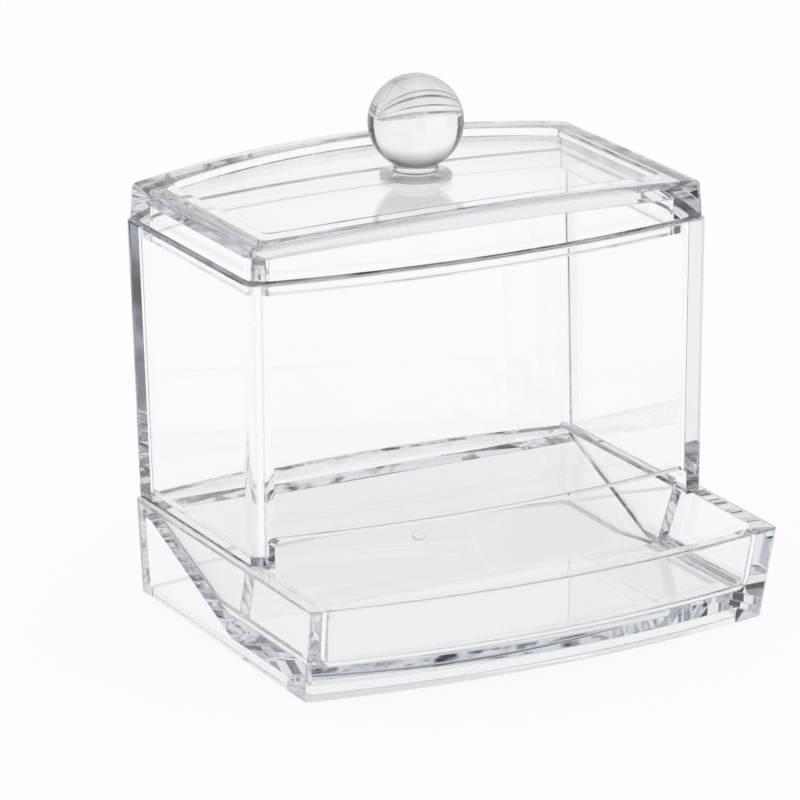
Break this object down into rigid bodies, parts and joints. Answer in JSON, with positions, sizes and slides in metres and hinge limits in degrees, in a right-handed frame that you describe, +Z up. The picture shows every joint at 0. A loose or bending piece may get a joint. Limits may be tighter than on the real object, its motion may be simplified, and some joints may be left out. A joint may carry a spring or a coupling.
{
  "type": "cotton pad and swab dispenser box",
  "caption": "Clear lidded hopper box on a wider base, with a ramp that leads under the raised front wall into a shallow dispensing tray, and a ball-knob lid.",
  "frame": {"origin": "on the floor, in the middle of the whole outline's bounding box", "axes": "+Z up, +X to the right seen from the front, -Y towards the dispensing tray"},
  "size_m": [0.0898, 0.0801, 0.0919],
  "materials": {
    "base_plastic": "clear, polished",
    "hopper_plastic": "clear, polished",
    "lid_plastic": "clear, polished",
    "knob_plastic": "clear, polished"
  },
  "bodies": {
    "box": {"base_tray": "base_plastic", "hopper": "hopper_plastic"},
    "lifting_lid": {"lid": "lid_plastic", "knob": "knob_plastic"}
  },
  "joints": [
    {"name": "lid_lift", "type": "slide", "parent": "box", "child": "lifting_lid", "axis": [0, 0, 1], "range_m": [0, 0.06]}
  ]
}
